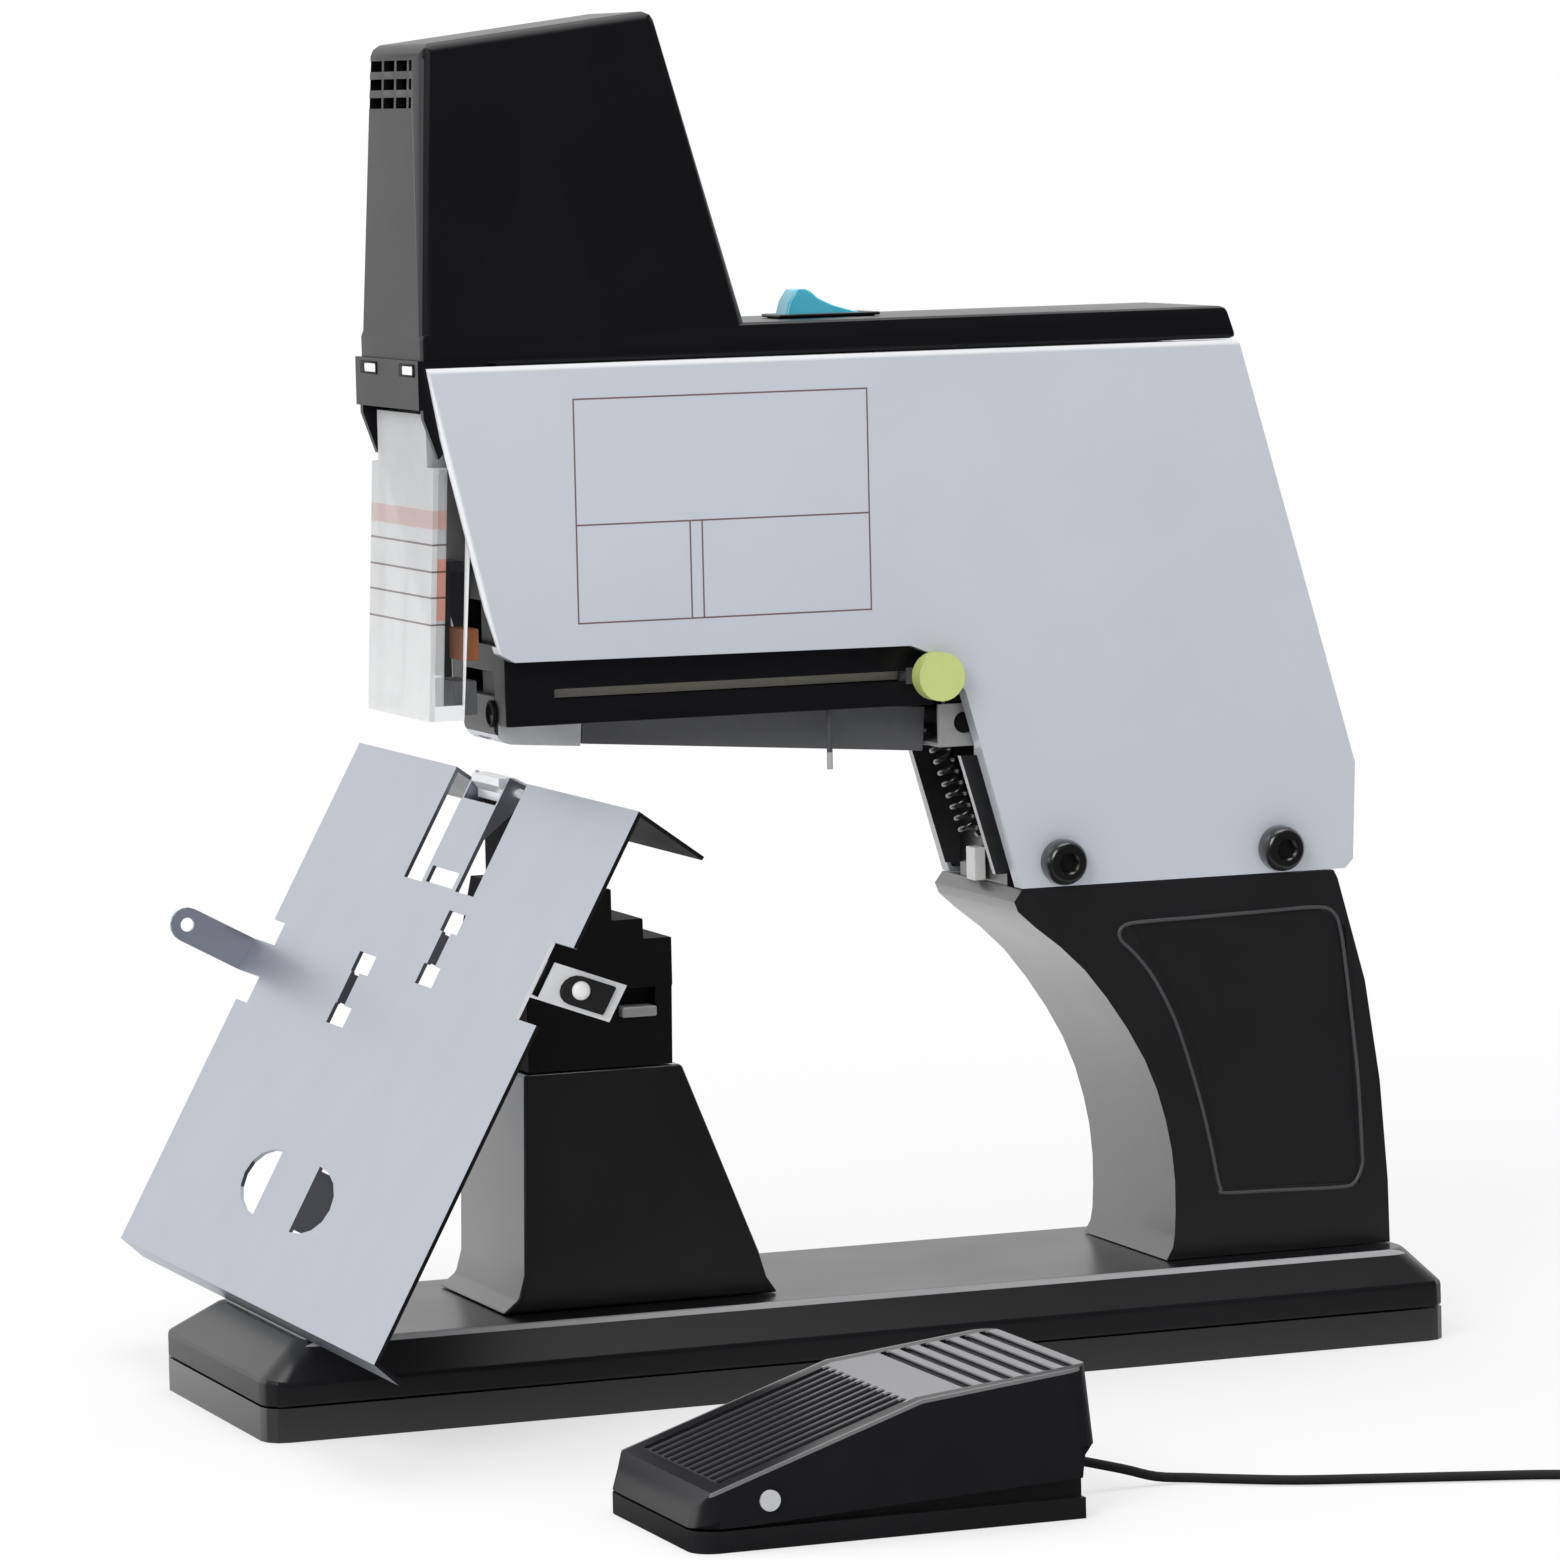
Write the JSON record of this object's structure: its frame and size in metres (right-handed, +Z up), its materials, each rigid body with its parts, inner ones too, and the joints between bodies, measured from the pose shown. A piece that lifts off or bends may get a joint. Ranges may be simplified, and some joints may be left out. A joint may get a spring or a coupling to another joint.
{
  "type": "electric stapler",
  "caption": "Bench electric stapler on a cast base: tall motor tower, clear guard, swinging magazine, margin gauge, folding steel table and a foot pedal on a cord.",
  "frame": {"origin": "middle of the base's underside, on the surface that the machine stands on", "axes": "+X towards the side with the margin knob, +Y towards the rear column, +Z up"},
  "size_m": [0.5214, 0.4114, 0.4231],
  "materials": {
    "cast_black": "satin black powder coat on a casting",
    "base_black": "satin black paint on a casting",
    "painted_black": "satin black paint",
    "grey_panel": "pale cool grey satin paint",
    "stainless": "satin stainless sheet",
    "bright_steel": "polished steel",
    "zinc": "zinc-plated steel",
    "dark_steel": "dark oiled steel",
    "copper_brown": "brown bronze",
    "rubber_black": "matt black rubber",
    "plastic_black": "satin black plastic",
    "white_plastic": "white nylon",
    "knob_green": "yellow-green plastic",
    "rocker_cyan": "translucent cyan plastic",
    "clear_guard": "clear plastic with a frosted top",
    "board_green": "circuit board"
  },
  "bodies": {
    "frame": {"base_pan": "cast_black", "base_casting": "base_black", "foot_front_right": "rubber_black", "foot_rear_right": "rubber_black", "foot_front_left": "rubber_black", "foot_rear_left": "rubber_black", "front_pillar": "cast_black", "rear_column": "cast_black", "anvil_block": "painted_black", "anvil": "bright_steel", "table_pin": "bright_steel", "side_cover_right": "grey_panel", "side_cover_left": "grey_panel", "rear_cover": "grey_panel", "cap_front_right": "plastic_black", "cap_rear_right": "plastic_black", "cap_front_left": "plastic_black", "cap_rear_left": "plastic_black", "top_cover": "painted_black", "inlet": "plastic_black", "pedal_socket": "plastic_black", "frame_plate_right": "zinc", "frame_plate_left": "zinc", "motor": "zinc", "head_bracket": "dark_steel", "bronze_block": "copper_brown", "head_block": "zinc", "guard_pin": "bright_steel", "lower_arm": "painted_black", "margin_rail": "dark_steel", "pivot_pin": "bright_steel", "return_spring": "dark_steel", "spring_seat": "white_plastic", "switch_housing": "plastic_black", "control_board": "board_green", "pedal_base": "plastic_black", "treadle_pin": "bright_steel", "treadle_spring": "bright_steel", "foot_switch": "plastic_black", "cord_grommet": "rubber_black", "pedal_cord": "rubber_black", "cord_coil": "rubber_black", "cord_plug": "plastic_black"},
    "table": {"table": "stainless", "ear_pad": "rubber_black"},
    "magazine": {"magazine_body": "zinc", "magazine_nose": "bright_steel", "pivot_bracket": "zinc"},
    "pusher": {"staple_pusher": "dark_steel"},
    "crank": {"crankshaft": "bright_steel", "drive_gear": "dark_steel"},
    "pinion": {"motor_pinion": "bright_steel"},
    "ram": {"ram": "dark_steel"},
    "guard": {"guard": "clear_guard"},
    "margin": {"margin_slider": "plastic_black"},
    "knob": {"margin_knob": "knob_green"},
    "rocker": {"rocker": "rocker_cyan"},
    "treadle": {"treadle": "painted_black"},
    "latch": {"lock_lever": "zinc"}
  },
  "joints": [
    {"name": "table_tilt", "type": "hinge", "parent": "frame", "child": "table", "pos_m": [0, -0.0975, 0.1865], "axis": [-1, 0, 0], "range_deg": [0, 61.3]},
    {"name": "magazine_swing", "type": "hinge", "parent": "frame", "child": "magazine", "pos_m": [0, 0.0465, 0.2014], "axis": [1, 0, 0], "range_deg": [0, 3.4], "stiffness_Nm_per_rad": 2, "springref_deg": -14.32},
    {"name": "pusher_slide", "type": "slide", "parent": "magazine", "child": "pusher", "axis": [0, -0.9974, 0.0718], "range_m": [0, 0.085]},
    {"name": "crank_turn", "type": "hinge", "parent": "frame", "child": "crank", "pos_m": [0, -0.092, 0.33], "axis": [1, 0, 0], "range_deg": [0, 180]},
    {"name": "pinion_turn", "type": "hinge", "parent": "frame", "child": "pinion", "pos_m": [0, -0.092, 0.36665], "axis": [1, 0, 0], "range_deg": [-691, 0]},
    {"name": "ram_slide", "type": "slide", "parent": "frame", "child": "ram", "axis": [0, 0, -1], "range_m": [0, 0.012]},
    {"name": "guard_lift", "type": "hinge", "parent": "frame", "child": "guard", "pos_m": [0, -0.122, 0.295], "axis": [-1, 0, 0], "range_deg": [0, 70]},
    {"name": "margin_slide", "type": "slide", "parent": "frame", "child": "margin", "axis": [0, -1, 0], "range_m": [0, 0.095]},
    {"name": "knob_turn", "type": "hinge", "parent": "margin", "child": "knob", "pos_m": [0, 0.0335, 0.2172], "axis": [1, 0, 0], "range_deg": [0, 180]},
    {"name": "rocker_tilt", "type": "hinge", "parent": "frame", "child": "rocker", "pos_m": [0, 0.011, 0.326], "axis": [1, 0, 0], "range_deg": [0, 14]},
    {"name": "treadle_press", "type": "hinge", "parent": "frame", "child": "treadle", "pos_m": [0.236, -0.117, 0.0136], "axis": [-1, 0, 0], "range_deg": [0, 2.6], "stiffness_Nm_per_rad": 8, "springref_deg": -5.73},
    {"name": "latch_slide", "type": "slide", "parent": "frame", "child": "latch", "axis": [0, 0, 1], "range_m": [0, 0.005]}
  ],
  "couplings": [
    {"joint": "ram_slide", "follows": "crank_turn", "m_per_rad": 0.0038197},
    {"joint": "pinion_turn", "follows": "crank_turn", "ratio": -3.8333}
  ]
}
